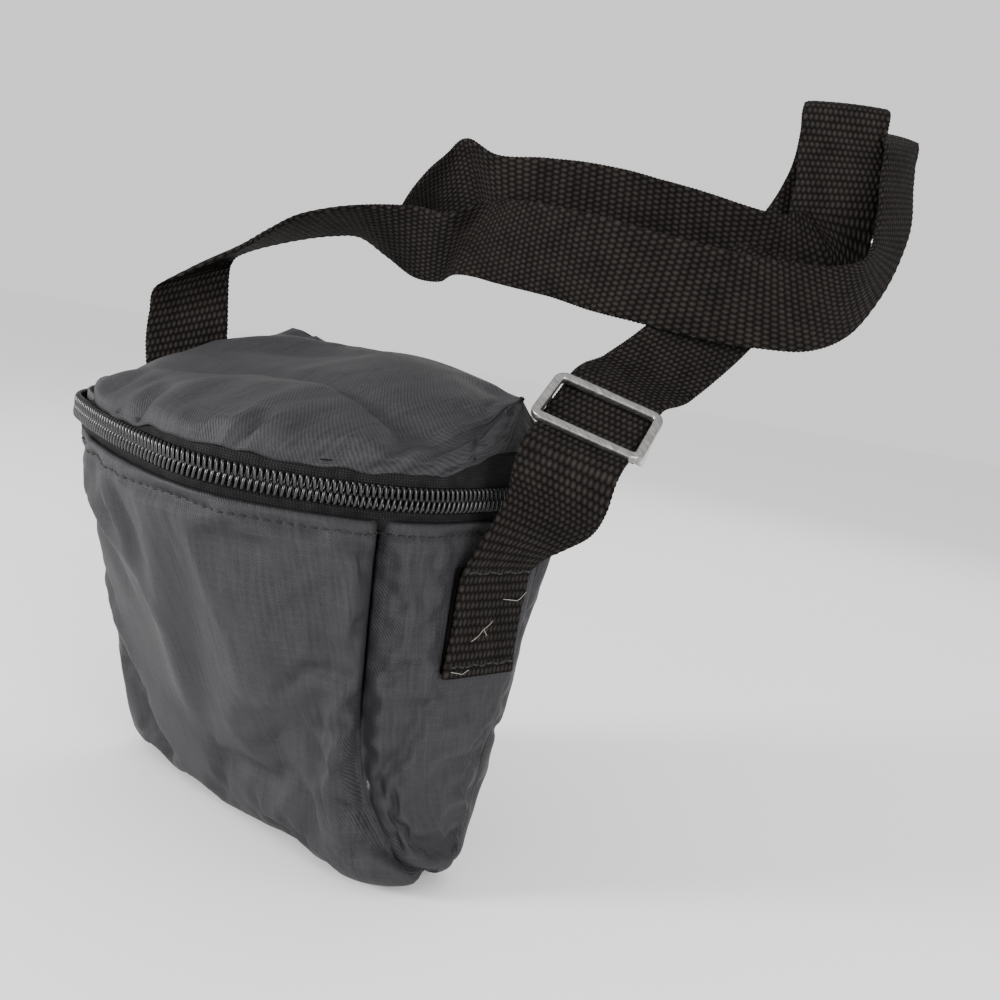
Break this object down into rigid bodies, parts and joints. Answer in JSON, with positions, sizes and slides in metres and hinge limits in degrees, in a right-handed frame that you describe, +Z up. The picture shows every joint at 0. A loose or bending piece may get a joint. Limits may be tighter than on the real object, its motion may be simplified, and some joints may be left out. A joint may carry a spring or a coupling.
{
  "type": "camera bag",
  "caption": "Small soft camera bag with a tapered padded body, a domed zip-around hinged lid, red padded lining and an adjustable webbing shoulder strap.",
  "frame": {"origin": "centre of the flat base, on the surface the bag stands on", "axes": "+Z up, front of the bag towards -Y, +X to the side that carries the strap's slide"},
  "size_m": [0.1748, 0.2104, 0.2319],
  "materials": {
    "nylon": "satin",
    "foam": "matte",
    "red_lining": "matte",
    "webbing": "matte",
    "zip_tape": "matte",
    "zip_coil": "satin",
    "binding": "matte",
    "thread": "matte",
    "board": "matte",
    "slide_metal": "satin",
    "zip_metal": "satin"
  },
  "bodies": {
    "bag": {"front_panel": "nylon", "back_panel": "nylon", "left_gusset": "nylon", "right_gusset": "nylon", "base_panel": "nylon", "front_foam": "foam", "back_foam": "foam", "left_foam": "foam", "right_foam": "foam", "base_foam": "foam", "base_board": "board", "body_lining": "red_lining", "lining_floor": "red_lining", "mouth_binding": "binding", "lower_zip_tape": "zip_tape", "lower_zip_coil": "zip_coil", "lower_zip_stops": "zip_metal", "back_hinge_band": "nylon", "right_strap_foot": "webbing", "left_strap_foot": "webbing", "right_foot_stitching": "thread", "left_foot_stitching": "thread"},
    "lid": {"lid_binding": "binding", "upper_zip_tape": "zip_tape", "upper_zip_coil": "zip_coil", "upper_zip_stops": "zip_metal", "lid_back_band": "nylon", "lid_crown": "nylon", "lid_foam": "foam", "lid_lining": "red_lining"},
    "slider": {"zip_slider": "zip_metal"},
    "pull": {"zip_pull": "zip_metal"},
    "strap": {"short_strap": "webbing", "long_strap": "webbing"},
    "adjuster": {"slide_frame": "slide_metal", "slide_bar": "slide_metal", "strap_loop": "webbing"}
  },
  "joints": [
    {"name": "lid_hinge", "type": "hinge", "parent": "bag", "child": "lid", "pos_m": [0, 0.039, 0.1043], "axis": [-1, 0, 0], "range_deg": [0, 105]},
    {"name": "zip_run", "type": "slide", "parent": "bag", "child": "slider", "axis": [0, -1, 0], "range_m": [0, 0.042]},
    {"name": "pull_swing", "type": "hinge", "parent": "slider", "child": "pull", "pos_m": [-0.059, 0.023, 0.1043], "axis": [0, 0, 1], "range_deg": [0, 175]},
    {"name": "strap_swing", "type": "hinge", "parent": "bag", "child": "strap", "pos_m": [0, 0.001, 0.084], "axis": [-1, 0, 0], "range_deg": [0, 84]},
    {"name": "strap_adjust", "type": "slide", "parent": "strap", "child": "adjuster", "axis": [-0.2697, 0.7743, 0.5725], "range_m": [-0.005, 0.005]}
  ],
  "couplings": [
    {"joint": "strap_swing", "follows": "lid_hinge", "ratio": 0.8}
  ]
}
